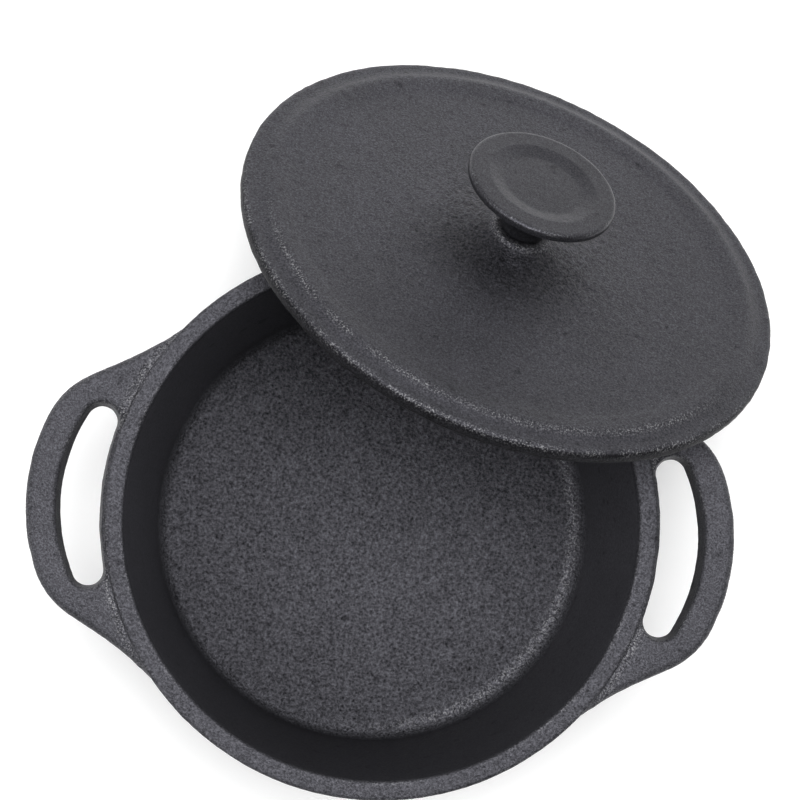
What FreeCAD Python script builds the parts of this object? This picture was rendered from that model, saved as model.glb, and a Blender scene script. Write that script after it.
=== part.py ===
"""Cast iron dutch oven with its lid leaning on the rim.

Pieces: the pot casting with its two loop handles, the lid casting, the cast knob,
and the screw and washer that hold the knob on the lid.
Millimetres, +Z up, origin at the middle of the pot's base, handles along X.
"""

import FreeCAD, Part
import math
import os

# ---- pot -------------------------------------------------------------------
POT_HEIGHT = 85.7
RIM_RADIUS = 100.0
MOUTH_RADIUS = 93.35
FLOOR_THICKNESS = 5.0
FLOOR_RADIUS = 82.0
FLOOR_FILLET = 5.0
BASE_RADIUS = 87.0
BASE_FILLET = 10.0
WALL_TOP_RADIUS = 97.0
WALL_TOP_HEIGHT = 73.5
RIM_BAND_BOTTOM = 77.0
RIM_EDGE_FILLET = 1.2

# ---- loop handles ----------------------------------------------------------
HANDLE_TOP = 84.5
HANDLE_THICKNESS = 12.0
HANDLE_EDGE_FILLET = 3.0
HANDLE_REACH = 128.4
HANDLE_ARC_RADIUS = 74.0
HANDLE_BAR_WIDTH = 11.0
HANDLE_SIDE_ANGLE = 28.5
HANDLE_SIDE_DISTANCE = 90.2
HANDLE_CORNER_RADIUS = 32.0
HANDLE_BLEND_RADIUS = 120.0
HANDLE_BLEND_OVERLAP = 0.7
HOLE_INNER_RADIUS = 101.0
HOLE_END_RADIUS = 6.5
HOLE_DRAFT_ANGLE = 5.0
HOLE_EDGE_FILLET = 2.0

# ---- lid, heights above the underside of its flange --------------------------
LID_RADIUS = 102.8
LID_EDGE_THICKNESS = 5.65
LID_EDGE_FILLET = 2.0
LID_FLANGE_INNER = 98.2
LID_RIDGE = [(95.7, 6.3), (92.4, 7.45), (87.6, 7.0), (82.0, 6.4)]
LID_TOP_RISE = [(62.0, 6.7), (45.0, 7.4), (30.0, 8.9), (20.0, 10.9), (14.5, 12.7), (11.6, 14.2)]
BOSS_RADIUS = 10.9
BOSS_HEIGHT = 15.5
BOSS_FILLET = 0.9
PAD_RADIUS = 17.0
PAD_HEIGHT = 3.8
LID_UNDERSIDE = [(20.5, 6.1), (30.0, 4.3), (48.0, 2.6), (66.0, 1.8), (84.0, 1.3)]
LIP_INNER = 88.0
LIP_OUTER = 91.6
LIP_DEPTH = 3.0
LIP_FILLET = 1.0
SCREW_CLEARANCE_RADIUS = 3.3

# ---- how the lid leans -------------------------------------------------------
LEAN_ANGLE = 45.7
LEAN_HEADING = 71.5
LEAN_SIDE_SHIFT = -3.6
REST_GAP = 0.3

# ---- knob, heights above the underside of the lid's flange ---------------------
KNOB_RADIUS = 28.0
KNOB_TOP = 38.0
KNOB_EDGE_THICKNESS = 3.2
KNOB_EDGE_FILLET = 1.3
KNOB_FOOT_RADIUS = 8.4
KNOB_NECK = [(8.9, 20.0), (11.2, 25.5), (16.0, 30.2), (23.0, 33.4)]
DISH_RADIUS = 20.5
DISH_FLOOR_RADIUS = 16.5
DISH_DEPTH = 1.2
SCREW_BORE_TOP = 28.0

# ---- screw and washer ----------------------------------------------------------
SCREW_RADIUS = 3.0
SCREW_TIP = 26.0
SCREW_TIP_CHAMFER = 0.8
SCREW_HEAD_RADIUS = 6.0
SCREW_HEAD_HEIGHT = 4.0
SCREW_HEAD_FILLET = 1.6
SLOT_WIDTH = 1.6
SLOT_DEPTH = 1.7
WASHER_RADIUS = 7.0
WASHER_BORE_RADIUS = 3.25
WASHER_THICKNESS = 1.2

# closer than this, two places count as the same
TINY = 1e-4


def at(radius, height):
    """A point of a profile in the XZ plane."""
    return FreeCAD.Vector(radius, 0, height)


def flat(x, y):
    """A point of an outline in the XY plane."""
    return FreeCAD.Vector(x, y, 0)


def below(point):
    """The same point on the other side of the X axis."""
    return flat(point.x, -point.y)


def line(start, end):
    return Part.LineSegment(start, end).toShape()


def arc(start, middle, end):
    return Part.Arc(start, middle, end).toShape()


def curve(points):
    """A smooth curve through the points."""
    spline = Part.BSplineCurve()
    spline.interpolate(points)
    return spline.toShape()


def rounded_path(corners):
    """Straight edges through (radius, height, fillet) corners, each corner rounded by its fillet."""
    edges = []
    start = at(corners[0][0], corners[0][1])
    for before, corner, after in zip(corners, corners[1:], corners[2:]):
        tip = at(corner[0], corner[1])
        back = (at(before[0], before[1]) - tip).normalize()
        ahead = (at(after[0], after[1]) - tip).normalize()
        fillet = corner[2]
        if fillet == 0:
            edges.append(line(start, tip))
            start = tip
            continue
        half_angle = back.getAngle(ahead) / 2
        set_back = fillet / math.tan(half_angle)
        bisector = (back + ahead).normalize()
        middle = tip + bisector * (fillet / math.sin(half_angle) - fillet)
        edges.append(line(start, tip + back * set_back))
        edges.append(arc(tip + back * set_back, middle, tip + ahead * set_back))
        start = tip + ahead * set_back
    edges.append(line(start, at(corners[-1][0], corners[-1][1])))
    return edges


def turned(edges):
    """The solid made by turning a closed profile about the Z axis."""
    face = Part.Face(Part.Wire(Part.__sortEdges__(edges)))
    return face.revolve(FreeCAD.Vector(0, 0, 0), FreeCAD.Vector(0, 0, 1), 360)


def turned_outline(corners):
    """The solid turned from a closed run of (radius, height, fillet) corners on the axis."""
    first = at(corners[0][0], corners[0][1])
    last = at(corners[-1][0], corners[-1][1])
    return turned(rounded_path(corners) + [line(last, first)])


def pot_blank():
    """The pot's outside, still full of metal."""
    return turned_outline([
        (0, 0, 0),
        (BASE_RADIUS, 0, BASE_FILLET),
        (WALL_TOP_RADIUS, WALL_TOP_HEIGHT, 3.0),
        (RIM_RADIUS, RIM_BAND_BOTTOM, 2.0),
        (RIM_RADIUS, POT_HEIGHT, RIM_EDGE_FILLET),
        (0, POT_HEIGHT, 0),
    ])


def pot_cavity():
    """The space inside the pot, running on past the rim."""
    above = POT_HEIGHT + 5
    return turned_outline([
        (0, FLOOR_THICKNESS, 0),
        (FLOOR_RADIUS, FLOOR_THICKNESS, FLOOR_FILLET),
        (MOUTH_RADIUS, POT_HEIGHT, 0),
        (MOUTH_RADIUS, above, 0),
        (0, above, 0),
    ])


def handle_outline():
    """Outside edge of one handle: outer arc, rounded corners, straight sides, blends into the rim."""
    arc_centre = HANDLE_REACH - HANDLE_ARC_RADIUS
    side = math.radians(HANDLE_SIDE_ANGLE)
    outward = flat(math.sin(side), math.cos(side))
    along = flat(math.cos(side), -math.sin(side))

    corner_out = HANDLE_SIDE_DISTANCE - HANDLE_CORNER_RADIUS
    reach = HANDLE_ARC_RADIUS - HANDLE_CORNER_RADIUS
    offset_out = corner_out - arc_centre * math.sin(side)
    corner_along = arc_centre * math.cos(side) + math.sqrt(reach ** 2 - offset_out ** 2)
    corner = outward * corner_out + along * corner_along
    corner_end = flat(arc_centre, 0) + (corner - flat(arc_centre, 0)) * (HANDLE_ARC_RADIUS / reach)
    corner_start = corner + outward * HANDLE_CORNER_RADIUS
    towards_tip = (outward + (corner_end - corner).normalize()).normalize()
    corner_middle = corner + towards_tip * HANDLE_CORNER_RADIUS

    touch = RIM_RADIUS - HANDLE_BLEND_OVERLAP + HANDLE_BLEND_RADIUS
    blend_out = HANDLE_SIDE_DISTANCE + HANDLE_BLEND_RADIUS
    blend_along = math.sqrt(touch ** 2 - blend_out ** 2)
    blend = outward * blend_out + along * blend_along
    blend_end = blend - outward * HANDLE_BLEND_RADIUS
    blend_start = blend * ((touch - HANDLE_BLEND_RADIUS) / touch)
    towards_rim = (blend_start + blend_end - blend * 2).normalize()
    blend_middle = blend + towards_rim * HANDLE_BLEND_RADIUS

    upper = [
        arc(blend_start, blend_middle, blend_end),
        line(blend_end, corner_start),
        arc(corner_start, corner_middle, corner_end),
    ]
    lower = [edge.mirror(flat(0, 0), flat(0, 1)) for edge in upper]
    outer_arc = arc(corner_end, flat(HANDLE_REACH, 0), below(corner_end))
    closing = line(blend_start, below(blend_start))
    return Part.Wire(Part.__sortEdges__(upper + lower + [outer_arc, closing]))


def hole_outline(inset, height):
    """Finger hole between the rim and the bar, made smaller all round by the inset."""
    bar_centre = HANDLE_REACH - HANDLE_ARC_RADIUS
    inner = HOLE_INNER_RADIUS + inset
    outer = HANDLE_ARC_RADIUS - HANDLE_BAR_WIDTH - inset
    end = HOLE_END_RADIUS - inset
    end_x = ((inner + end) ** 2 - (outer - end) ** 2 + bar_centre ** 2) / (2 * bar_centre)
    end_y = math.sqrt((inner + end) ** 2 - end_x ** 2)
    end_centre = flat(end_x, end_y)
    on_rim = end_centre * (inner / (inner + end))
    on_bar = flat(bar_centre, 0) + (end_centre - flat(bar_centre, 0)) * (outer / (outer - end))
    tip = flat(end_x, end_y + end)
    rim_side = arc(on_rim, flat(inner, 0), below(on_rim))
    lower_end = arc(below(on_rim), below(tip), below(on_bar))
    bar_side = arc(below(on_bar), flat(bar_centre + outer, 0), on_bar)
    upper_end = arc(on_bar, tip, on_rim)
    wire = Part.Wire([rim_side, lower_end, bar_side, upper_end])
    wire.translate(FreeCAD.Vector(0, 0, height))
    return wire


def handle_bottom():
    return HANDLE_TOP - HANDLE_THICKNESS


def is_face_edge(edge):
    """True for an edge that lies in the top or the bottom face of the handle."""
    box = edge.BoundBox
    on_top = abs(box.ZMin - HANDLE_TOP) < TINY
    on_bottom = abs(box.ZMax - handle_bottom()) < TINY
    return box.ZLength < TINY and (on_top or on_bottom)


def is_closing_edge(edge):
    """True for the straight edge across the pot's inside, which ends the handle's outline there."""
    return edge.BoundBox.XLength < TINY


def is_hole_edge(edge):
    """True for edges of the finger hole, which lie between the rim and the bar."""
    box = edge.BoundBox
    inside_bar = box.XMax < HANDLE_REACH - HANDLE_BAR_WIDTH + 0.5
    outside_rim = box.XMin > RIM_RADIUS * math.cos(math.radians(HANDLE_SIDE_ANGLE))
    near_middle = abs(box.Center.y) < HOLE_INNER_RADIUS * math.sin(math.radians(HANDLE_SIDE_ANGLE))
    return inside_bar and outside_rim and near_middle


def handle():
    """One loop handle on the +X side, with its drafted finger hole and rounded edges."""
    plate = Part.Face(handle_outline()).extrude(FreeCAD.Vector(0, 0, HANDLE_THICKNESS))
    plate.translate(FreeCAD.Vector(0, 0, handle_bottom()))
    outside = [e for e in plate.Edges if is_face_edge(e) and not is_closing_edge(e)]
    plate = plate.makeFillet(HANDLE_EDGE_FILLET, outside)
    draft = HANDLE_THICKNESS * math.tan(math.radians(HOLE_DRAFT_ANGLE))
    hole = Part.makeLoft([hole_outline(draft, handle_bottom()), hole_outline(0, HANDLE_TOP)], True, True)
    loop = plate.cut(hole)
    hole_edges = [e for e in loop.Edges if is_face_edge(e) and is_hole_edge(e)]
    return loop.makeFillet(HOLE_EDGE_FILLET, hole_edges)


def pot():
    """One casting: vessel and both loop handles."""
    right = handle()
    left = right.mirror(FreeCAD.Vector(0, 0, 0), FreeCAD.Vector(1, 0, 0))
    body = pot_blank().fuse([right, left])
    body = body.cut(pot_cavity())
    mouth = [e for e in body.Edges if is_mouth_edge(e)]
    return body.makeFillet(RIM_EDGE_FILLET, mouth).removeSplitter()


def is_mouth_edge(edge):
    """True for the edge where the inside wall meets the rim's top face."""
    box = edge.BoundBox
    level = abs(box.ZMin - POT_HEIGHT) < TINY and box.ZLength < TINY
    return level and abs(box.XMax - MOUTH_RADIUS) < TINY


def lid():
    """Lid casting: rounded edge, ridge, shallow trough, rise to the boss; pad and lip below."""
    bore = SCREW_CLEARANCE_RADIUS
    top_start = at(LID_FLANGE_INNER, LID_EDGE_THICKNESS)
    top_end = LID_TOP_RISE[-1]
    top_points = LID_RIDGE + LID_TOP_RISE
    top = curve([top_start] + [at(r, h) for r, h in top_points])
    boss = rounded_path([
        (top_end[0], top_end[1], 0),
        (BOSS_RADIUS, BOSS_HEIGHT, BOSS_FILLET),
        (bore, BOSS_HEIGHT, 0),
    ])
    under_start = LID_UNDERSIDE[0]
    under_end = LID_UNDERSIDE[-1]
    pad = rounded_path([
        (bore, PAD_HEIGHT, 0),
        (PAD_RADIUS, PAD_HEIGHT, 1.2),
        (under_start[0], under_start[1], 0),
    ])
    underside = curve([at(r, h) for r, h in LID_UNDERSIDE])
    edge = rounded_path([
        (under_end[0], under_end[1], 0),
        (LIP_INNER, -LIP_DEPTH, LIP_FILLET),
        (LIP_OUTER - 0.4, -LIP_DEPTH, LIP_FILLET),
        (LIP_OUTER, 0, 0),
        (LID_RADIUS, 0, LID_EDGE_FILLET),
        (LID_RADIUS, LID_EDGE_THICKNESS, LID_EDGE_FILLET),
        (LID_FLANGE_INNER, LID_EDGE_THICKNESS, 0),
    ])
    bore_side = line(at(bore, BOSS_HEIGHT), at(bore, PAD_HEIGHT))
    return turned([top, underside, bore_side] + boss + pad + edge)


def knob():
    """Mushroom knob: narrow foot, flared neck, flat disc with a shallow dish on top."""
    edge_bottom = KNOB_TOP - KNOB_EDGE_THICKNESS
    foot = at(KNOB_FOOT_RADIUS, BOSS_HEIGHT)
    neck = curve([foot] + [at(r, h) for r, h in KNOB_NECK] + [at(KNOB_RADIUS, edge_bottom)])
    top = rounded_path([
        (KNOB_RADIUS, edge_bottom, 0),
        (KNOB_RADIUS, KNOB_TOP, KNOB_EDGE_FILLET),
        (DISH_RADIUS, KNOB_TOP, 1.5),
        (DISH_FLOOR_RADIUS, KNOB_TOP - DISH_DEPTH, 3.0),
        (0, KNOB_TOP - DISH_DEPTH, 0),
    ])
    inside = [
        line(at(0, KNOB_TOP - DISH_DEPTH), at(0, SCREW_BORE_TOP)),
        line(at(0, SCREW_BORE_TOP), at(SCREW_RADIUS, SCREW_BORE_TOP)),
        line(at(SCREW_RADIUS, SCREW_BORE_TOP), at(SCREW_RADIUS, BOSS_HEIGHT)),
        line(at(SCREW_RADIUS, BOSS_HEIGHT), foot),
    ]
    return turned([neck] + top + inside)


def knob_screw():
    """M6 pan head screw with a straight slot, driven up from under the lid."""
    seat = PAD_HEIGHT - WASHER_THICKNESS
    bottom = seat - SCREW_HEAD_HEIGHT
    body = turned_outline([
        (0, bottom, 0),
        (SCREW_HEAD_RADIUS, bottom, SCREW_HEAD_FILLET),
        (SCREW_HEAD_RADIUS, seat, 0),
        (SCREW_RADIUS, seat, 0),
        (SCREW_RADIUS, SCREW_TIP - SCREW_TIP_CHAMFER, 0),
        (SCREW_RADIUS - SCREW_TIP_CHAMFER, SCREW_TIP, 0),
        (0, SCREW_TIP, 0),
    ])
    length = 3 * SCREW_HEAD_RADIUS
    corner = FreeCAD.Vector(-length / 2, -SLOT_WIDTH / 2, bottom - SLOT_DEPTH)
    slot = Part.makeBox(length, SLOT_WIDTH, 2 * SLOT_DEPTH, corner)
    return body.cut(slot)


def knob_washer():
    """Flat steel washer between the screw head and the pad under the lid."""
    height = PAD_HEIGHT - WASHER_THICKNESS
    corner = at(0, height)
    disc = Part.makeCylinder(WASHER_RADIUS, WASHER_THICKNESS, corner)
    return disc.cut(Part.makeCylinder(WASHER_BORE_RADIUS, WASHER_THICKNESS, corner))


def leaning():
    """Placement of the lid: low edge on the table, the pad under its middle on the rim's edge."""
    tilt = math.radians(LEAN_ANGLE)
    heading = math.radians(LEAN_HEADING)
    away = FreeCAD.Vector(math.cos(heading), math.sin(heading), 0)
    sideways = FreeCAD.Vector(-math.sin(heading), math.cos(heading), 0)
    height = middle_height(tilt)
    rim_across = RIM_RADIUS - RIM_EDGE_FILLET
    rim_up = POT_HEIGHT - RIM_EDGE_FILLET - height
    gap = PAD_HEIGHT - RIM_EDGE_FILLET - REST_GAP
    distance = rim_across + (rim_up * math.cos(tilt) - gap) / math.sin(tilt)
    base = away * distance + sideways * LEAN_SIDE_SHIFT + FreeCAD.Vector(0, 0, height)
    return FreeCAD.Placement(base, FreeCAD.Rotation(sideways, LEAN_ANGLE))


def middle_height(tilt):
    """Height of the middle of the flange when the rounded edge of the tilted lid is on the table."""
    round_centre = LID_RADIUS - LID_EDGE_FILLET
    return round_centre * math.sin(tilt) - LID_EDGE_FILLET * math.cos(tilt) + LID_EDGE_FILLET


def write(name, shape):
    shape.exportStep(os.path.join("parts", name + ".step"))


os.makedirs("parts", exist_ok=True)
write("pot", pot())
for name, make in [("lid", lid), ("knob", knob), ("knob_screw", knob_screw), ("knob_washer", knob_washer)]:
    piece = make()
    piece.Placement = leaning()
    write(name, piece)
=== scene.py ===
"""Looks of a round cast iron dutch oven, its lid leaning on the rim."""

import bpy
import math
import numpy as np
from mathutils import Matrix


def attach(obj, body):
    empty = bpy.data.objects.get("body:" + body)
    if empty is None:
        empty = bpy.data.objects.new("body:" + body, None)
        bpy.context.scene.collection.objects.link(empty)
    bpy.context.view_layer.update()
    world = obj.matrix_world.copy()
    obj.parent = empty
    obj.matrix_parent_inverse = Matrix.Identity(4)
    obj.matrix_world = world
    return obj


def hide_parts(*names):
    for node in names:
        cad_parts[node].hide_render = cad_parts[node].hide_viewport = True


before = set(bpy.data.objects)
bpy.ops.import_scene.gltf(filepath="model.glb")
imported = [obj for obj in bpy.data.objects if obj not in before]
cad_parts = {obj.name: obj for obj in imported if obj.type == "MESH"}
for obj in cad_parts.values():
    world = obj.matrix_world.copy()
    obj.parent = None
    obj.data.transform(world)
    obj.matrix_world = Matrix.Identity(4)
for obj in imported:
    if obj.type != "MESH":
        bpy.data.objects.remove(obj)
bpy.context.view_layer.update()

# ---- room ---------------------------------------------------------------------
# A pale matt table top that glows a little, under one wide soft lamp and two weaker ones, in a
# studio that is bright on its far side and dim on its near side. The camera looks almost
# straight down.

mm = 0.001
white = (1.0, 1.0, 1.0, 1.0)
table_size = 6.0
table_drop = 0.4 * mm
table_white = 0.72
table_roughness = 0.9
table_glow = 0.34
lamps = {
    "top_lamp": {"place": (0.05, 0.15, 1.70), "size": 1.1, "watts": 30.0},
    "left_lamp": {"place": (-1.25, -0.10, 1.35), "size": 0.8, "watts": 7.0},
    "far_lamp": {"place": (0.60, 1.55, 1.50), "size": 0.9, "watts": 6.0},
}
bright_side = (-0.05, 0.98, 0.20)
dim_until = -0.6
bright_from = 0.7
dim_strength = 0.10
bright_strength = 0.80
camera_place = (-0.0510, -0.0202, 1.2068)
camera_turn = (3.030, -3.013, 5.243)
camera_lens = 140.12
camera_sensor = 36.0

table_edge = table_size / 2
table_mesh = bpy.data.meshes.new("table_top")
table_mesh.from_pydata(
    [(-table_edge, -table_edge, -table_drop), (table_edge, -table_edge, -table_drop),
     (table_edge, table_edge, -table_drop), (-table_edge, table_edge, -table_drop)],
    [], [(0, 1, 2, 3)])
table_top = bpy.data.objects.new("table_top", table_mesh)
bpy.context.collection.objects.link(table_top)
table_paint = bpy.data.materials.new("table_paint")
table_paint.use_nodes = True
table_shader = table_paint.node_tree.nodes["Principled BSDF"]
table_shader.inputs["Base Color"].default_value = (table_white, table_white, table_white, 1.0)
table_shader.inputs["Roughness"].default_value = table_roughness
table_shader.inputs["Emission Color"].default_value = white
table_shader.inputs["Emission Strength"].default_value = table_glow
table_mesh.materials.append(table_paint)

world = bpy.data.worlds.new("studio")
world.use_nodes = True
world_nodes = world.node_tree.nodes
world_links = world.node_tree.links
sky_way = world_nodes.new("ShaderNodeTexCoord")
sky_side = world_nodes.new("ShaderNodeVectorMath")
sky_side.operation = "DOT_PRODUCT"
sky_side.inputs[1].default_value = bright_side
sky_strength = world_nodes.new("ShaderNodeMapRange")
sky_strength.interpolation_type = "SMOOTHSTEP"
sky_strength.inputs["From Min"].default_value = dim_until
sky_strength.inputs["From Max"].default_value = bright_from
sky_strength.inputs["To Min"].default_value = dim_strength
sky_strength.inputs["To Max"].default_value = bright_strength
world_links.new(sky_way.outputs["Generated"], sky_side.inputs[0])
world_links.new(sky_side.outputs["Value"], sky_strength.inputs["Value"])
world_links.new(sky_strength.outputs["Result"], world_nodes["Background"].inputs["Strength"])
world_nodes["Background"].inputs["Color"].default_value = white
bpy.context.scene.world = world
bpy.context.scene.view_settings.view_transform = "Standard"

for lamp_name, lamp in lamps.items():
    light = bpy.data.lights.new(lamp_name, "AREA")
    light.shape = "DISK"
    light.size = lamp["size"]
    light.energy = lamp["watts"]
    lamp_object = bpy.data.objects.new(lamp_name, light)
    lamp_object.location = lamp["place"]
    away_from_lamp = lamp_object.location.copy()
    away_from_lamp.negate()
    lamp_object.rotation_euler = away_from_lamp.to_track_quat("-Z", "Y").to_euler()
    bpy.context.collection.objects.link(lamp_object)

camera = bpy.data.objects.new("camera", bpy.data.cameras.new("camera"))
camera.location = camera_place
camera.rotation_euler = [math.radians(turn) for turn in camera_turn]
camera.data.lens = camera_lens
camera.data.sensor_width = camera_sensor
bpy.context.collection.objects.link(camera)
bpy.context.scene.camera = camera

# ---- pot: vessel ----------------------------------------------------------------
# Grey iron poured in a sand mould, with the loop handles in the same pour. The sand leaves a
# pebbled skin, coarse on the floor and fine on the walls, and baked oil has turned it black.

pot_height = 85.7
rim_radius = 100.0
mouth_radius = 93.35
base_radius = 87.0
wall_top_radius = 97.0
wall_top = 73.5
rim_band_foot = 77.0
rim_rounding = 1.2
floor_radius = 82.0
floor_level = 5.0
flat_floor_radius = 77.6
vessel_turns = 576
# Corners of the profile from the base's middle round to the floor's: radius, height, fillet, step.
vessel_corners = [
    (0.0, 0.0, 0.0, 11.0),
    (base_radius, 0.0, 10.0, 6.0),
    (wall_top_radius, wall_top, 3.0, 1.5),
    (rim_radius, rim_band_foot, 2.0, 2.0),
    (rim_radius, pot_height, rim_rounding, 0.9),
    (mouth_radius, pot_height, 1.0, 3.3),
    (floor_radius, floor_level, 5.0, 1.2),
    (0.0, floor_level, 0.0, 1.0),
]
inner_wall_coarse = 0.04
outer_wall_coarse = 0.6
rim_coarse = 0.62


def rounded_outline(corners, arc_step=1.1):
    """Profile through (radius, height, fillet, step) corners. Each tip is replaced by an arc of the
    fillet radius that touches both runs; step spaces the points of the run that leaves the corner,
    and arc_step those of the arcs. The arc's middle lies fillet / sin(half the angle between the
    runs) from the tip, along the line that halves that angle."""
    place = np.array([corner[:2] for corner in corners])
    parts = [place[:1]]
    for number in range(1, len(corners)):
        tip = place[number]
        fillet = corners[number][2]
        start = parts[-1][-1]
        arc = tip[None]
        if fillet > 0:
            back = (place[number - 1] - tip) / np.linalg.norm(place[number - 1] - tip)
            ahead = (place[number + 1] - tip) / np.linalg.norm(place[number + 1] - tip)
            half_angle = np.arccos(np.clip(back @ ahead, -1, 1)) / 2
            set_back = fillet / np.tan(half_angle)
            middle = tip + (back + ahead) / np.linalg.norm(back + ahead) * fillet / np.sin(half_angle)
            sweep = np.pi - 2 * half_angle
            steps = max(4, int(fillet * sweep / arc_step))
            share = np.linspace(0, 1, steps)[:, None] * sweep
            first = (tip + back * set_back - middle) / fillet
            arc = middle + fillet * (np.cos(share) * first - np.sin(share) * back)
        run = np.linalg.norm(arc[0] - start)
        pieces = max(1, int(round(run / corners[number - 1][3])))
        if run > 1e-6:
            parts.append(start + np.linspace(0, 1, pieces + 1)[1:, None] * (arc[0] - start))
        if len(arc) > 1:
            parts.append(arc[1:])
    return np.concatenate(parts)


def turned(outline, turns):
    """Grid of a profile carried round the Z axis, x = r cos a, y = r sin a, z = h, with the normals
    of the smooth surface, (dh, -dr) of the profile carried round the same way."""
    angle = np.linspace(0, 2 * np.pi, turns, endpoint=False)
    slope = np.gradient(outline, axis=0)
    slope = slope / np.maximum(np.linalg.norm(slope, axis=1, keepdims=True), 1e-9)
    ring = np.stack([np.cos(angle), np.sin(angle), np.zeros(turns)], axis=1)
    up = np.array([0.0, 0.0, 1.0])
    grid = outline[:, None, :1] * ring + outline[:, None, 1:] * up
    normals = slope[:, None, 1:] * ring - slope[:, None, :1] * up
    return grid, normals


def lumps(points, cell, seed):
    """Smooth lumps from -1 to 1: random numbers on the corners of a cubic lattice with the given
    cell, blended between corners by the weight 3t² - 2t³ along each axis. A corner's number comes
    from its whole-number place and the seed, scrambled by large odd multipliers."""
    scramble = np.array([73856093, 19349663, 83492791])
    where = points / cell + 1000.0
    low = np.floor(where).astype(np.int64)
    part = where - low
    weight = part * part * (3 - 2 * part)
    total = np.zeros(points.shape[:-1])
    for corner in np.ndindex(2, 2, 2):
        spot = low + np.array(corner)
        code = np.bitwise_xor.reduce(spot * scramble, axis=-1) ^ seed * 2654435
        code = (code ^ (code >> 13)) * 1274126177 & 0x7FFFFFFF
        code = (code ^ (code >> 11)) * 1103515245 & 0x7FFFFFFF
        share = np.prod(np.where(np.array(corner) == 1, weight, 1 - weight), axis=-1)
        total += share * ((code >> 7) % 4096 / 2047.5 - 1)
    return total


def blend_in(value, start, end):
    """0 before start, 1 after end, and 3t² - 2t³ between them."""
    part = np.clip((value - start) / (end - start), 0, 1)
    return part * part * (3 - 2 * part)


def band(value, middle, width):
    """A smooth hump, exp(-((value - middle) / width)²)."""
    return np.exp(-((value - middle) / width) ** 2)


def sand_cast(grid, normals, coarse, seed):
    """The grid moved along its normals by the mould's unevenness: 0.12 mm swells 24 mm across
    everywhere, and where the sand was coarse 0.11 mm lumps of 2.6 mm and 0.08 mm lumps of 1.4 mm."""
    swell = 0.12 * lumps(grid, 24.0, seed)
    pebbles = 0.11 * lumps(grid, 2.6, seed + 1) + 0.08 * lumps(grid, 1.4, seed + 2)
    return grid + normals * (swell + coarse * pebbles)[..., None]


def skin(name, grid, marks, open_ends=True):
    """Closed mesh of a (rows, columns, xyz) grid in millimetres whose columns run round and close.
    With open_ends the first and last rows are each one point on the axis, joined to their
    neighbours by a fan; otherwise the rows close too. marks are kept as point attributes."""
    rows, columns = grid.shape[:2]
    across = np.arange(columns)
    after = (across + 1) % columns
    if open_ends:
        points = np.concatenate([grid[0, :1], grid[1:-1].reshape(-1, 3), grid[-1, :1]])
        kept = {}
        for key, mark in marks.items():
            kept[key] = np.concatenate([mark[0, :1], mark[1:-1].ravel(), mark[-1, :1]])
        start = 1 + np.arange(rows - 3)[:, None] * columns
        last = len(points) - 1
        top_row = last - columns
        above = start + columns
        quads = np.stack([start + across, start + after, above + after, above + across], axis=-1)
        fan_in = np.stack([np.zeros_like(across), 1 + after, 1 + across], axis=-1)
        fan_out = np.stack([top_row + across, top_row + after, np.full_like(across, last)], axis=-1)
        corners = np.concatenate([quads.ravel(), fan_in.ravel(), fan_out.ravel()])
        sizes = np.concatenate([np.full((rows - 3) * columns, 4), np.full(2 * columns, 3)])
    else:
        points = grid.reshape(-1, 3)
        kept = {key: mark.ravel() for key, mark in marks.items()}
        start = np.arange(rows)[:, None] * columns
        above = (np.arange(rows)[:, None] + 1) % rows * columns
        quads = np.stack([start + across, start + after, above + after, above + across], axis=-1)
        corners = quads.ravel()
        sizes = np.full(rows * columns, 4)
    mesh = bpy.data.meshes.new(name)
    mesh.vertices.add(len(points))
    mesh.vertices.foreach_set("co", (points * mm).ravel())
    mesh.loops.add(len(corners))
    mesh.loops.foreach_set("vertex_index", corners)
    mesh.polygons.add(len(sizes))
    mesh.polygons.foreach_set("loop_start", np.concatenate([[0], np.cumsum(sizes)[:-1]]))
    mesh.polygons.foreach_set("use_smooth", np.ones(len(sizes), bool))
    for key, mark in kept.items():
        mesh.attributes.new(key, "FLOAT", "POINT").data.foreach_set("value", mark)
    mesh.update(calc_edges=True)
    mesh.validate()
    piece = bpy.data.objects.new(name, mesh)
    bpy.context.collection.objects.link(piece)
    return piece


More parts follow.
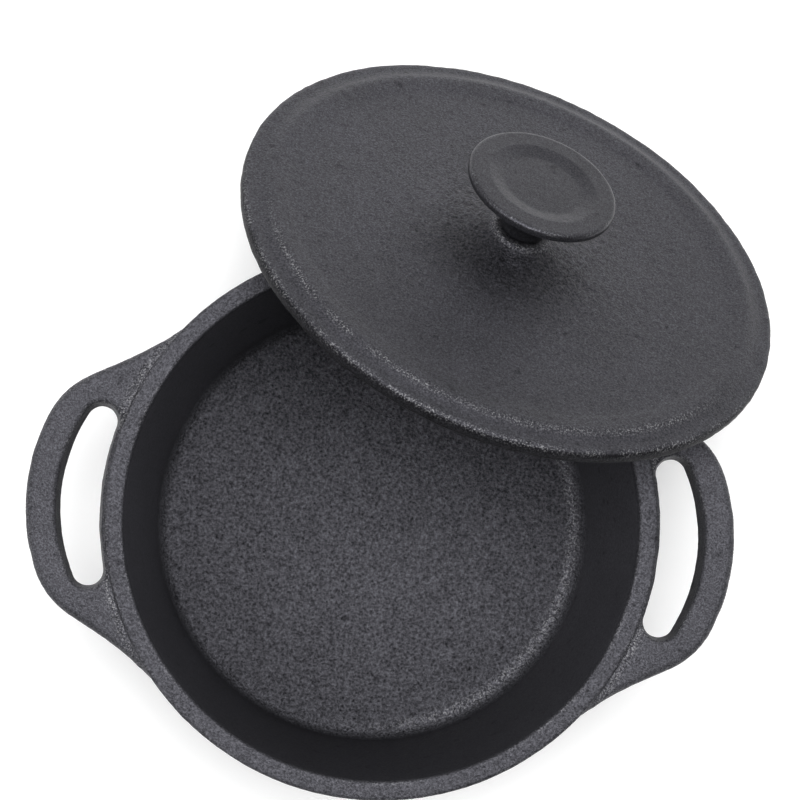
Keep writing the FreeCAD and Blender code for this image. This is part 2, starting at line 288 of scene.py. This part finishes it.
def seasoned_iron(name, skin_colour, gloss, grain, shine=0.5):
    """Black seasoned iron. Tone drifts in soft patches and drops in the pits between the grains.
    The point attributes say where the sand was coarse, where bare grey metal shows on the highest
    grains, rubbed bare by use and on the knob's edge also as a painted highlight, and where the tone
    is darkened by soot, oil and painted shade, and lightened by painted light where that value is
    below zero. gloss is the middle of its roughness, grain scales the size of the grains, and shine
    the strength of its highlights."""
    black = (0.0, 0.0, 0.0, 1.0)
    twice_skin = tuple(2.0 * part for part in skin_colour) + (1.0,)
    bare_metal = (0.26, 0.26, 0.265, 1.0)
    bluish_shine = (0.96, 0.95, 1.09, 1.0)
    grain_depth = 0.7 * mm
    material = bpy.data.materials.new(name)
    material.use_nodes = True
    nodes = material.node_tree.nodes
    links = material.node_tree.links
    shader = nodes["Principled BSDF"]
    shader.inputs["Specular Tint"].default_value = bluish_shine
    place = nodes.new("ShaderNodeTexCoord")

    def noise(scale, detail, roughness):
        """Cloudy noise from 0 to 1 on the piece's own place; a larger scale makes smaller grains."""
        node = nodes.new("ShaderNodeTexNoise")
        node.inputs["Scale"].default_value = scale
        node.inputs["Detail"].default_value = detail
        node.inputs["Roughness"].default_value = roughness
        links.new(place.outputs["Object"], node.inputs["Vector"])
        return node.outputs["Fac"]

    def maths(kind, first, second, third=None, clamp=False):
        """One sum on numbers or on other nodes' results, kept between 0 and 1 if clamp is set."""
        node = nodes.new("ShaderNodeMath")
        node.operation = kind
        node.use_clamp = clamp
        for socket, value in zip(node.inputs, (first, second, third)):
            if value is None:
                continue
            if isinstance(value, (int, float)):
                socket.default_value = value
            else:
                links.new(value, socket)
        return node.outputs[0]

    def spread(value, low, high, to_low, to_high):
        """to_low at low and below, to_high at high and above, and a straight line between them."""
        node = nodes.new("ShaderNodeMapRange")
        node.inputs["From Min"].default_value = low
        node.inputs["From Max"].default_value = high
        node.inputs["To Min"].default_value = to_low
        node.inputs["To Max"].default_value = to_high
        links.new(value, node.inputs["Value"])
        return node.outputs["Result"]

    def mark(key):
        """The value that the mesh's points carry under this name."""
        node = nodes.new("ShaderNodeAttribute")
        node.attribute_name = key
        return node.outputs["Fac"]

    def mixed(share, first, second):
        """The colour (1 - share) first + share second."""
        node = nodes.new("ShaderNodeMix")
        node.data_type = "RGBA"
        links.new(share, node.inputs["Factor"])
        for socket, value in ((node.inputs["A"], first), (node.inputs["B"], second)):
            if isinstance(value, tuple):
                socket.default_value = value
            else:
                links.new(value, socket)
        return node.outputs["Result"]

    coarse = mark("coarse")
    wear_and_glint = mark("wear_and_glint")
    soot_and_shade = mark("soot_and_shade")
    fine_grain = noise(1500.0 / grain, 2.0, 0.6)
    big_grain = noise(930.0 / grain, 1.5, 0.55)
    patches = noise(38.0, 3.0, 0.55)
    spots = noise(230.0, 1.0, 0.4)

    # Height of the grain, the two sizes mixed, and the tone that falls with the square of its depth.
    mostly_big = spread(coarse, 0.7, 1.0, 0.3, 0.62)
    fine_part = maths("MULTIPLY", maths("SUBTRACT", fine_grain, 0.5), maths("SUBTRACT", 1.0, mostly_big))
    big_part = maths("MULTIPLY", maths("SUBTRACT", big_grain, 0.5), mostly_big)
    height = maths("ADD", fine_part, big_part)
    contrast = spread(coarse, 0.0, 1.0, 1.4, 2.2)
    raised = maths("MAXIMUM", maths("MULTIPLY_ADD", height, contrast, 1.0), 0.3)
    hollow = maths("POWER", raised, 2.0)

    # Patches, dark spots, soot and painted shade on the skin, with painted light where that value is
    # below zero, then bare metal on the tips of worn grains and as a painted highlight.
    tone = maths("MULTIPLY", hollow, spread(patches, 0.3, 0.7, 0.88, 1.12))
    tone = maths("MULTIPLY", tone, spread(spots, 0.68, 0.78, 1.0, 0.6))
    tone = maths("MULTIPLY", tone, spread(soot_and_shade, -0.5, 1.0, 1.35, 0.35))
    skin_tone = mixed(maths("MULTIPLY", tone, 0.5), black, twice_skin)
    tips = spread(fine_grain, 0.52, 0.68, 0.0, 1.0)
    bare = maths("MULTIPLY", tips, wear_and_glint, clamp=True)
    colour = mixed(bare, skin_tone, bare_metal)
    links.new(colour, shader.inputs["Base Color"])
    links.new(maths("MULTIPLY", bare, 0.5), shader.inputs["Metallic"])
    links.new(maths("MULTIPLY", tone, shine), shader.inputs["Specular IOR Level"])
    fine_sand = spread(coarse, 0.0, 0.3, 0.72, 1.0)
    oily = spread(patches, 0.3, 0.7, gloss - 0.04, gloss + 0.05)
    links.new(maths("MULTIPLY", fine_sand, oily), shader.inputs["Roughness"])

    bump = nodes.new("ShaderNodeBump")
    bump.inputs["Distance"].default_value = grain_depth
    links.new(height, bump.inputs["Height"])
    links.new(spread(coarse, 0.0, 1.0, 0.06, 1.0), bump.inputs["Strength"])
    links.new(bump.outputs["Normal"], shader.inputs["Normal"])
    return material


vessel_outline = rounded_outline(vessel_corners)
vessel_grid, vessel_normals = turned(vessel_outline, vessel_turns)
vessel_radius = np.hypot(vessel_grid[..., 0], vessel_grid[..., 1])
vessel_height = vessel_grid[..., 2]
vessel_angle = np.degrees(np.arctan2(vessel_grid[..., 1], vessel_grid[..., 0]))
row_share = np.arange(len(vessel_outline))[:, None] + 0 * vessel_angle
mouth_row = np.argmax(vessel_outline[:, 1] > pot_height - 0.01)
is_inside = (row_share > mouth_row) & (vessel_radius < mouth_radius + 0.3)
floor_line = vessel_height + 1.3 * lumps(vessel_grid, 2.6, 5)
on_floor = np.where(is_inside, 1 - blend_in(floor_line, 5.8, 8.6), 0)
on_rim = np.where(vessel_height > pot_height - 1.0, 1.0, 0.0)
vessel_coarse = np.where(is_inside, inner_wall_coarse, outer_wall_coarse)
vessel_coarse = vessel_coarse + (1.0 - vessel_coarse) * on_floor
vessel_coarse = np.where(on_rim > 0, rim_coarse, vessel_coarse)

# Worn to metal: the right side of the floor's edge, and stretches of the rim's two edges.
right_side = blend_in(np.cos(np.radians(vessel_angle + 15)), 0.1, 0.8)
floor_edge = band(vessel_radius, flat_floor_radius, 1.8) * on_floor * right_side
mouth_edge = band(vessel_radius, mouth_radius + 0.6, 0.7)
outer_edge = band(vessel_radius, rim_radius - 0.4, 0.6)
rim_edges = (mouth_edge + outer_edge) * on_rim
rim_patchy = blend_in(lumps(vessel_grid, 18.0, 4), -0.3, 0.6)
vessel_worn = 0.7 * floor_edge + 0.35 * rim_edges * rim_patchy

# Painted shade: dark on the near wall, where the lid keeps the light out, and painted light on the
# side walls; on the floor painted shade that grows towards the walls, less along the worn edge.
near_wall = np.maximum(-np.sin(np.radians(vessel_angle)), 0)
wall_painted_shade = (1.2 * near_wall - 0.5) * (1 - on_floor)
floor_painted_shade = (0.08 + 0.31 * (vessel_radius / 78.0) ** 2) * on_floor - 0.5 * floor_edge
vessel_soot_and_shade = np.where(is_inside, wall_painted_shade + floor_painted_shade, 0.1)
vessel_soot_and_shade = vessel_soot_and_shade * (1 - on_rim) + 0.06 * on_rim
vessel_marks = {"coarse": vessel_coarse, "wear_and_glint": vessel_worn, "soot_and_shade": vessel_soot_and_shade}
vessel = skin("pot_vessel", sand_cast(vessel_grid, vessel_normals, vessel_coarse, 11), vessel_marks)
pot_iron = seasoned_iron("pot_iron", (0.022, 0.022, 0.0245), 0.58, 1.0)
vessel.data.materials.append(pot_iron)
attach(vessel, "pot")
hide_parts("pot")

# ---- pot: loop handles -------------------------------------------------------------
# Two flat loops in the same pour as the vessel, a finger hole in each. Their tops lie a little
# under the rim, and the corner where they meet it was left rough.

handle_top = 84.5
handle_thickness = 12.0
handle_rounding = 3.0
hole_rounding = 2.0
bar_centre = 54.4
bar_outer = 74.0
bar_inner = 63.0
side_angle = math.radians(28.5)
side_distance = 90.2
corner_radius = 32.0
blend_radius = 120.0
root_radius = 99.3
buried_radius = 95.7
hole_rim_side = 101.0
hole_end = 6.5
hole_draft = math.radians(5.0)
groove_place = 1.2
groove_width = 1.7
groove_from = 22.0
groove_full = 29.0


def round_arc(centre, radius, start, end, count):
    """Points of centre + radius (cos a, sin a), with a going evenly from start to end."""
    angle = np.linspace(start, end, count)
    return np.array(centre) + radius * np.stack([np.cos(angle), np.sin(angle)], axis=1)


def spaced(path, count):
    """The same path as count points at even distances along it."""
    length = np.concatenate([[0], np.cumsum(np.linalg.norm(np.diff(path, axis=0), axis=1))])
    along = np.linspace(0, length[-1], count)
    return np.stack([np.interp(along, length, path[:, 0]), np.interp(along, length, path[:, 1])], axis=1)


def heading(vector):
    """Angle of a vector from +X, atan2(y, x)."""
    return math.atan2(vector[1], vector[0])


def both_halves(upper):
    """An upper half from the bar's middle to the pot's side, then its mirror image back again."""
    return np.concatenate([upper, (upper * [1, -1])[-2:0:-1]])


def outer_paths(counts):
    """Outside of the handle: the bar's arc, then corner, straight side and blend into the rim, then
    a stretch buried in the wall. All meet at tangents. counts are the points on the three stretches."""
    outward = np.array([math.sin(side_angle), math.cos(side_angle)])
    along = np.array([math.cos(side_angle), -math.sin(side_angle)])
    bar = np.array([bar_centre, 0.0])
    corner_out = side_distance - corner_radius
    reach = bar_outer - corner_radius
    corner_along = bar @ along + math.sqrt(reach ** 2 - (corner_out - bar @ outward) ** 2)
    corner = outward * corner_out + along * corner_along
    touch = root_radius + blend_radius
    blend_out = side_distance + blend_radius
    blend = outward * blend_out + along * math.sqrt(touch ** 2 - blend_out ** 2)
    bar_end = heading(corner - bar)
    side_heading = heading(outward)
    root_heading = heading(blend)
    first = round_arc(bar, bar_outer, 0, bar_end, counts[0])
    turn = round_arc(corner, corner_radius, bar_end, side_heading, 60)
    sweep = round_arc(blend, blend_radius, side_heading + np.pi, root_heading + np.pi, 60)
    second = spaced(np.concatenate([turn, sweep]), counts[1])
    buried = round_arc((0, 0), buried_radius, root_heading, 0, counts[2])
    return np.concatenate([first, second[1:], buried]), len(first) + len(second) - 1


def hole_paths(inset, counts):
    """Edge of the finger hole, smaller all round by the inset: the bar's side, the round end, and
    the side along the rim, with the same counts of points as the outside."""
    rim_side = hole_rim_side + inset
    bar_side = bar_inner - inset
    end = hole_end - inset
    end_x = ((rim_side + end) ** 2 - (bar_side - end) ** 2 + bar_centre ** 2) / (2 * bar_centre)
    end_place = np.array([end_x, math.sqrt((rim_side + end) ** 2 - end_x ** 2)])
    bar_end = heading(end_place - [bar_centre, 0])
    rim_end = heading(end_place)
    first = round_arc((bar_centre, 0), bar_side, 0, bar_end, counts[0])
    second = round_arc(end_place, end, bar_end, rim_end + np.pi, counts[1])
    third = round_arc((0, 0), rim_side, rim_end, 0, counts[2])
    return np.concatenate([first, second[1:], third])


def nearest(points, path):
    """Distance of each point of a (rows, columns, xy) grid to the nearest point of a dense path, from
    |p - q|² = |p|² + |q|² - 2 p·q."""
    squares = (path ** 2).sum(axis=1)
    least = np.array([((squares - 2 * row @ path.T).min(axis=1)) for row in points])
    return np.sqrt(np.maximum(least + (points ** 2).sum(axis=2), 0))


def rounded_drop(distance, radius):
    """How far a rounded edge lies below its face: r - sqrt(r² - (r - d)²) within r of the edge."""
    inward = radius - np.minimum(distance, radius)
    return radius - np.sqrt(radius ** 2 - inward ** 2)


def loop_handle(mirror):
    """A flat ring round the finger hole. Each column is a closed section: over the top face from the
    hole to the outside, down the outside, back along the bottom face and up the hole's drafted wall.
    The faces drop at their edges by the rounding's arc, and the top face also by a rough groove
    where it meets the rim, away from the hole. mirror is 1 for the +X handle, -1 for -X."""
    counts = (90, 150, 60)
    draft = handle_thickness * math.tan(hole_draft)
    outside_upper, seen = outer_paths(counts)
    outside = both_halves(outside_upper)
    seen_edge = spaced(outside_upper[:seen], 700)
    seen_edge = np.concatenate([seen_edge, seen_edge * [1, -1]])
    hole_top = both_halves(hole_paths(0.0, counts))
    hole_bottom = both_halves(hole_paths(draft, counts))
    # Rows close to the two edges, by their distance from the edge in millimetres.
    near_hole = np.array([0.0, 0.12, 0.35, 0.7, 1.15, 1.65, 2.2])[:, None, None]
    near_outside = np.array([3.2, 2.5, 1.85, 1.25, 0.75, 0.35, 0.1, 0.0])[:, None, None]

    def sheet(hole, level, down, between):
        """One face at a level: straight lines from the hole's edge to the outside, with the close
        rows at both ends and some between, moved down (or up) by the two edges' rounded drops."""
        reach = outside - hole
        length = np.linalg.norm(reach, axis=1, keepdims=True)
        way = reach / length
        inner = hole + way * near_hole
        outer = outside - way * near_outside
        share = np.linspace(0, 1, between + 2)[1:-1, None, None]
        middle = inner[-1] + (outer[0] - inner[-1]) * share
        flat_points = np.concatenate([inner, middle, outer])
        drop = rounded_drop(nearest(flat_points, seen_edge), handle_rounding)
        drop = drop + rounded_drop(nearest(flat_points, hole), hole_rounding)
        return np.concatenate([flat_points, (level + down * drop)[..., None]], axis=2)

    top_sheet = sheet(hole_top, handle_top, -1, 24)
    bottom_sheet = sheet(hole_bottom, handle_top - handle_thickness, 1, 8)[::-1]
    from_rim = np.hypot(top_sheet[..., 0], top_sheet[..., 1]) - rim_radius
    groove = band(from_rim, groove_place, groove_width)
    groove = groove * blend_in(np.abs(top_sheet[..., 1]), groove_from, groove_full)
    top_sheet[..., 2] -= groove * (0.35 + 0.45 * lumps(top_sheet, 1.7, 31))
    steps = np.linspace(0, 1, 8)[1:-1, None, None]
    outside_wall = top_sheet[-1] + (bottom_sheet[0] - top_sheet[-1]) * steps
    hole_wall = bottom_sheet[-1] + (top_sheet[0] - bottom_sheet[-1]) * steps
    grid = np.concatenate([top_sheet, outside_wall, bottom_sheet, hole_wall])

    # Outward directions, from the cross product of the steps down the rows and along the columns.
    down_rows = np.roll(grid, -1, axis=0) - np.roll(grid, 1, axis=0)
    along_columns = np.roll(grid, -1, axis=1) - np.roll(grid, 1, axis=1)
    normals = np.cross(down_rows, along_columns)
    normals = normals / np.maximum(np.linalg.norm(normals, axis=2, keepdims=True), 1e-9)

    edges = np.minimum(nearest(grid[..., :2], seen_edge), nearest(grid[..., :2], hole_top))
    high = blend_in(grid[..., 2], handle_top - 2.6, handle_top - 1.2)
    in_groove = np.zeros(grid.shape[:2])
    in_groove[:len(top_sheet)] = groove
    patchy = blend_in(lumps(grid, 9.0, 33), -0.5, 0.5)
    # Painted shade darkens the sides and underside, everything below the top face.
    marks = {
        "coarse": 0.65 + 0.35 * in_groove,
        "wear_and_glint": (0.4 * band(edges, 0.4, 0.9) * high + in_groove) * patchy,
        "soot_and_shade": np.where(grid[..., 2] < handle_top - 2.5, 0.35, 0.0),
    }
    grid = sand_cast(grid, normals, 0.7 + 0.8 * in_groove, 17)
    grid = grid + normals * (0.16 * lumps(grid, 6.0, 35))[..., None]
    grid = grid * [mirror, 1, 1]
    if mirror > 0:
        grid = grid[:, ::-1]
        marks = {key: mark[:, ::-1] for key, mark in marks.items()}
    return skin("handle_right" if mirror > 0 else "handle_left", grid, marks, open_ends=False)


handle_iron = seasoned_iron("handle_iron", (0.023, 0.023, 0.0255), 0.58, 0.9)
for handle_side in (1, -1):
    handle = loop_handle(handle_side)
    handle.data.materials.append(handle_iron)
    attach(handle, "pot")
    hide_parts("pot")

# ---- lid ---------------------------------------------------------------------------
# A second sand casting: rounded edge, raised ring, shallow trough, and a slow rise to a rough
# boss under the knob. Below are a locating lip and a pad. It leans with its low edge on the table.

lid_radius = 102.8
lid_edge = 5.65
flange_inner = 98.2
boss_height = 15.5
pad_height = 3.8
lid_bore = 3.3
lid_turns = 560
lean_angle = math.radians(45.7)
lean_heading = math.radians(71.5)
lean_side_shift = -3.6
lid_rounding = 2.0
lip_depth = 3.0
rest_gap = 0.3
top_run = [(flange_inner, lid_edge), (95.7, 6.3), (92.4, 7.45), (87.6, 7.0), (82.0, 6.4), (62.0, 6.7),
           (45.0, 7.4), (30.0, 8.9), (20.0, 10.9), (14.5, 12.7), (11.6, 14.2)]
under_run = [(20.5, 6.1), (30.0, 4.3), (48.0, 2.6), (66.0, 1.8), (84.0, 1.3)]


def smooth_run(knots, step):
    """Cubic pieces through the knots, each tangent half the way from the knot before to the knot
    after (at the ends, the way to the only neighbour), sampled every step or so."""
    knots = np.array(knots)
    tangents = np.gradient(knots, axis=0)
    parts = []
    for number in range(len(knots) - 1):
        first, second = knots[number], knots[number + 1]
        count = max(2, int(round(np.linalg.norm(second - first) / step)))
        part = np.linspace(0, 1, count + 1)[:-1, None]
        lead = 2 * part ** 3 - 3 * part ** 2 + 1
        push = part ** 3 - 2 * part ** 2 + part
        pull = part ** 3 - part ** 2
        between = lead * first + (1 - lead) * second
        parts.append(between + push * tangents[number] + pull * tangents[number + 1])
    return np.concatenate(parts + [knots[-1:]])


def leaning(grid):
    """Turns the lid's own frame, heights along Z, to the leaning place: tilted about the level line
    across the lean, with the rounded low edge on the table and the pad a gap above the rim's edge."""
    heading_way = np.array([math.cos(lean_heading), math.sin(lean_heading), 0.0])
    sideways = np.array([-math.sin(lean_heading), math.cos(lean_heading), 0.0])
    up = np.array([0.0, 0.0, 1.0])
    sin_lean, cos_lean = math.sin(lean_angle), math.cos(lean_angle)
    rise = (lid_radius - lid_rounding) * sin_lean - lid_rounding * cos_lean + lid_rounding
    rim_up = pot_height - rim_rounding - rise
    gap = pad_height - rim_rounding - rest_gap
    distance = rim_radius - rim_rounding + (rim_up * cos_lean - gap) / sin_lean
    base = heading_way * distance + sideways * lean_side_shift + up * rise
    outward = grid @ heading_way
    return (base
            + outward[..., None] * (heading_way * cos_lean - up * sin_lean)
            + (grid @ sideways)[..., None] * sideways
            + grid[..., 2:] * (heading_way * sin_lean + up * cos_lean))


lid_outline = np.concatenate([
    rounded_outline([(lid_bore, pad_height, 0, 2.0), (17.0, pad_height, 1.2, 1.5), under_run[0] + (0, 1)]),
    smooth_run(under_run, 3.0)[1:-1],
    rounded_outline([
        under_run[-1] + (0, 1.5),
        (88.0, -lip_depth, 1.0, 1.5),
        (91.2, -lip_depth, 1.0, 1.5),
        (91.6, 0.0, 0.3, 1.5),
        (lid_radius, 0.0, lid_rounding, 1.0),
        (lid_radius, lid_edge, lid_rounding, 1.0),
        (flange_inner, lid_edge, 0, 1)]),
    smooth_run(top_run[:8], 1.2)[1:],
    smooth_run(top_run[7:], 0.7)[1:-1],
    rounded_outline([
        top_run[-1] + (0, 0.7),
        (10.9, boss_height, 0.9, 0.9),
        (lid_bore, boss_height, 0, 2.0)]),
    np.linspace((lid_bore, boss_height), (lid_bore, pad_height), 5)[1:-1],
])
lid_grid, lid_normals = turned(lid_outline, lid_turns)
lid_away = np.hypot(lid_grid[..., 0], lid_grid[..., 1])
lid_angle = np.arctan2(lid_grid[..., 1], lid_grid[..., 0])
uphill = -np.cos(lid_angle - lean_heading)
rightward = -np.sin(lid_angle - lean_heading)
lid_top = blend_in(lid_normals[..., 2], 0.0, 0.4)
lid_coarse = 0.40 + 0.40 * band(lid_away, 32.0, 30.0) * lid_top
lid_coarse = lid_coarse + 0.5 * band(lid_away, 16.0, 12.0) * lid_top
lid_patchy = blend_in(lumps(lid_grid, 7.0, 41), -1.1, 0.3)

# Worn to metal: the uphill half of the edge and of the raised ring, and the boss's rounding.
edge_worn = 0.75 * band(lid_away, lid_radius - 0.9, 0.9) * blend_in(uphill, 0.0, 0.5)
ring_worn = 0.8 * band(lid_away, 93.6, 1.1) * blend_in(uphill, 0.2, 0.7)
boss_side = blend_in(uphill, -0.6, 0.3)
boss_worn = 0.8 * band(lid_away, 10.7, 1.1) * boss_side
lid_worn = ((edge_worn + ring_worn) * lid_patchy + boss_worn) * lid_top

# Painted shade: dark on the lid's side face, a painted shadow of the knob pooled uphill of the boss
# but kept off the boss's worn rounding, and lighter painted shade uphill and to the right.
side_face = blend_in(lid_away, 100.6, 101.6) * (1 - blend_in(lid_normals[..., 2], 0.45, 0.75))
boss_unshaded = 0.5 * band(lid_away, 10.8, 1.4) * boss_side
knob_shadow_pool = 0.5 * band(lid_away, 21.0, 15.0) * blend_in(uphill, -0.4, 0.6)
uphill_shade = 0.12 * blend_in(uphill, 0.2, 1.0)
right_shade = 0.14 * blend_in(rightward, 0.2, 0.9) * blend_in(lid_away, 20.0, 60.0)
lid_painted_shade = 0.95 * side_face + (knob_shadow_pool - boss_unshaded + uphill_shade + right_shade) * lid_top
lid_grid = sand_cast(lid_grid, lid_normals, 0.35 + lid_coarse, 23)
lid_chips = 0.14 * lumps(lid_grid, 4.5, 25) * blend_in(lid_away, 98.0, 102.0)
lid_grid = lid_grid + lid_normals * lid_chips[..., None]
lid_marks = {"coarse": lid_coarse, "wear_and_glint": lid_worn, "soot_and_shade": lid_painted_shade}
lid = skin("lid_casting", leaning(lid_grid), lid_marks, open_ends=False)
lid_iron = seasoned_iron("lid_iron", (0.011, 0.011, 0.0128), 0.54, 0.95)
lid.data.materials.append(lid_iron)
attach(lid, "lid")
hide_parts("lid")

# ---- knob --------------------------------------------------------------------------
# Its own small casting in finer sand: a disc with a shallow dish on a flared neck. It stands on
# the boss, pulled down by the screw, with a dark line of baked oil round the joint.

knob_radius = 28.0
knob_top = 38.0
knob_edge = 3.2
dish_depth = 1.2
foot_radius = 8.4
screw_radius = 3.0
bore_top = 28.0
knob_turns = 400
neck_run = [(foot_radius + 0.05, boss_height + 0.5), (8.9, 20.0), (11.2, 25.5), (16.0, 30.2), (23.0, 33.4),
            (knob_radius - 0.4, knob_top - knob_edge)]
knob_outline = np.concatenate([
    rounded_outline([
        (0, bore_top, 0, 1.5),
        (screw_radius, bore_top, 0, 3.0),
        (screw_radius, boss_height + 0.05, 0, 2.0),
        (foot_radius - 0.3, boss_height + 0.05, 0.2, 0.4),
        neck_run[0] + (0, 1)]),
    smooth_run(neck_run, 0.9)[1:-1],
    rounded_outline([
        neck_run[-1] + (0, 0.5),
        (knob_radius, knob_top - knob_edge + 0.3, 0.3, 0.6),
        (knob_radius, knob_top, 1.3, 0.7),
        (20.5, knob_top, 3.5, 0.6),
        (15.0, knob_top - dish_depth, 7.0, 0.8),
        (0, knob_top - dish_depth, 0, 1)]),
])
knob_grid, knob_normals = turned(knob_outline, knob_turns)
knob_away = np.hypot(knob_grid[..., 0], knob_grid[..., 1])
knob_high = knob_grid[..., 2]
knob_uphill = -np.cos(np.arctan2(knob_grid[..., 1], knob_grid[..., 0]) - lean_heading)
knob_patchy = blend_in(lumps(knob_grid, 5.0, 51), -0.7, 0.5)
knob_rim = band(knob_away, knob_radius - 0.55, 0.5) * blend_in(knob_high, knob_top - 1.4, knob_top - 0.7)
knob_coarse = np.full(knob_away.shape, 0.10)
# Bare metal on the disc's top edge is wear, heavier uphill, and partly a painted highlight where light
# glints on the rounding.
knob_marks = {
    "coarse": knob_coarse,
    "wear_and_glint": knob_rim * knob_patchy * (0.25 + 0.35 * blend_in(knob_uphill, 0.0, 0.6)),
    "soot_and_shade": 0.9 * band(knob_high, boss_height, 0.9),
}
knob_grid = sand_cast(knob_grid, knob_normals, 0.25 + knob_coarse, 29)
knob = skin("knob_casting", leaning(knob_grid), knob_marks)
knob_iron = seasoned_iron("knob_iron", (0.010, 0.010, 0.0113), 0.5, 0.75, 0.40)
knob.data.materials.append(knob_iron)
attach(knob, "lid")
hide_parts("knob")

# ---- screw and washer ----------------------------------------------------------------
# A plain M6 screw and a flat washer under the lid, zinc-coated and dulled by heat. The screw
# goes up through the pad and pulls the knob down on its boss.


def dulled_zinc(name, colour, roughness):
    """Zinc-coated steel that ovens have dulled: cloudy patches from a dark warm grey to the given
    grey, rougher where they are pale, and a fine unevenness in the surface."""
    dull_grey = (colour * 0.45, colour * 0.43, colour * 0.42, 1.0)
    clean_grey = (colour, colour, colour * 1.02, 1.0)
    uneven_depth = 0.04 * mm
    material = bpy.data.materials.new(name)
    material.use_nodes = True
    nodes = material.node_tree.nodes
    links = material.node_tree.links
    shader = nodes["Principled BSDF"]
    place = nodes.new("ShaderNodeTexCoord")
    clouds = nodes.new("ShaderNodeTexNoise")
    clouds.inputs["Scale"].default_value = 420.0
    clouds.inputs["Detail"].default_value = 4.0
    links.new(place.outputs["Object"], clouds.inputs["Vector"])
    ramp = nodes.new("ShaderNodeValToRGB")
    ramp.color_ramp.elements[0].position = 0.35
    ramp.color_ramp.elements[0].color = dull_grey
    ramp.color_ramp.elements[1].position = 0.65
    ramp.color_ramp.elements[1].color = clean_grey
    links.new(clouds.outputs["Fac"], ramp.inputs["Fac"])
    links.new(ramp.outputs["Color"], shader.inputs["Base Color"])
    shader.inputs["Metallic"].default_value = 1.0
    gloss = nodes.new("ShaderNodeMapRange")
    gloss.inputs["To Min"].default_value = roughness - 0.08
    gloss.inputs["To Max"].default_value = roughness + 0.12
    links.new(clouds.outputs["Fac"], gloss.inputs["Value"])
    links.new(gloss.outputs["Result"], shader.inputs["Roughness"])
    uneven = nodes.new("ShaderNodeTexNoise")
    uneven.inputs["Scale"].default_value = 2600.0
    uneven.inputs["Detail"].default_value = 2.0
    links.new(place.outputs["Object"], uneven.inputs["Vector"])
    bump = nodes.new("ShaderNodeBump")
    bump.inputs["Distance"].default_value = uneven_depth
    bump.inputs["Strength"].default_value = 0.6
    links.new(uneven.outputs["Fac"], bump.inputs["Height"])
    links.new(bump.outputs["Normal"], shader.inputs["Normal"])
    return material


for node_name, steel_colour, steel_roughness in (("knob_screw", 0.42, 0.38), ("knob_washer", 0.5, 0.42)):
    steel = dulled_zinc(node_name + "_zinc", steel_colour, steel_roughness)
    steel_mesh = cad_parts[node_name].data
    steel_mesh.materials.clear()
    steel_mesh.materials.append(steel)
